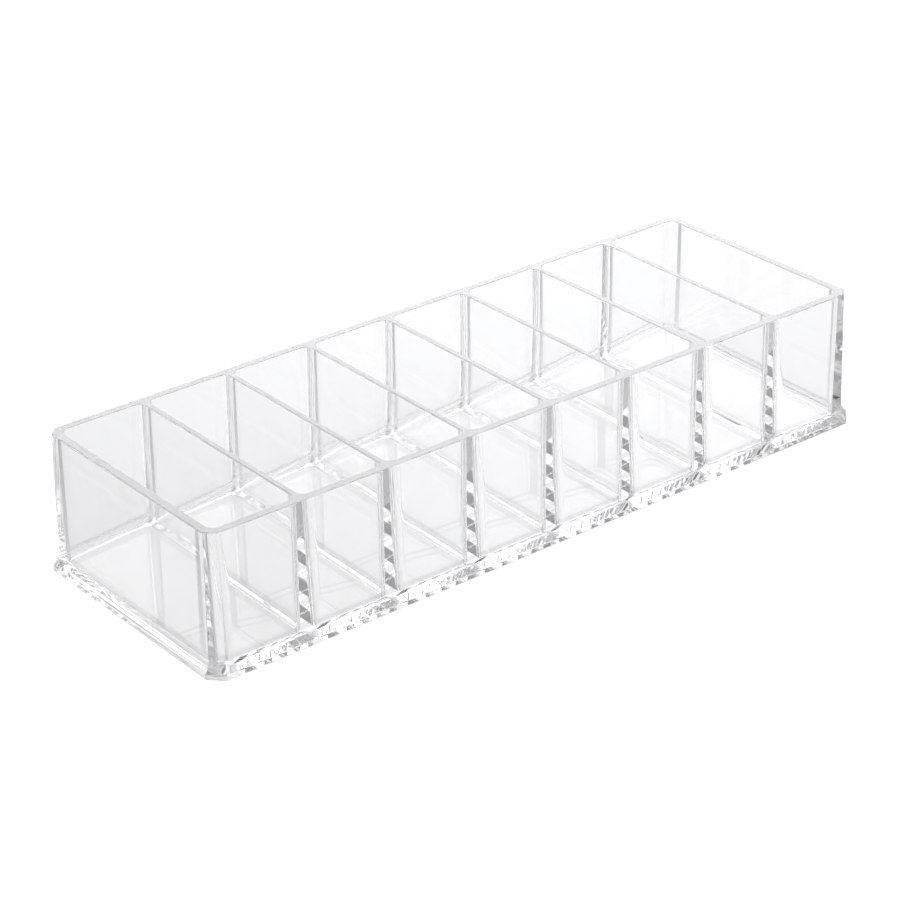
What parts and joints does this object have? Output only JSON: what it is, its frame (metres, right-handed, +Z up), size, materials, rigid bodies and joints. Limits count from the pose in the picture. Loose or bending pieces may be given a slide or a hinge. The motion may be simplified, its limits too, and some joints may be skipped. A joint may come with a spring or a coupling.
{
  "type": "vanity organizer",
  "caption": "Long, shallow, clear plastic tray with a single row of equal upright compartments between thin cross dividers, cut outer corners and a flared foot.",
  "frame": {"origin": "middle of the foot's underside, on the surface that the tray stands on", "axes": "+X along the row of compartments, +Y from the front long wall to the back one, +Z up"},
  "size_m": [0.235, 0.083, 0.0425],
  "materials": {
    "clear_plastic": "Water-clear moulded polystyrene, polished on every face, colourless apart from a faint cool grey in its thickness"
  },
  "bodies": {
    "root": {"base_tray": "clear_plastic", "front_wall": "clear_plastic", "back_wall": "clear_plastic", "left_end_wall": "clear_plastic", "right_end_wall": "clear_plastic", "divider_1": "clear_plastic", "divider_2": "clear_plastic", "divider_3": "clear_plastic", "divider_4": "clear_plastic", "divider_5": "clear_plastic", "divider_6": "clear_plastic", "divider_7": "clear_plastic"}
  },
  "joints": []
}
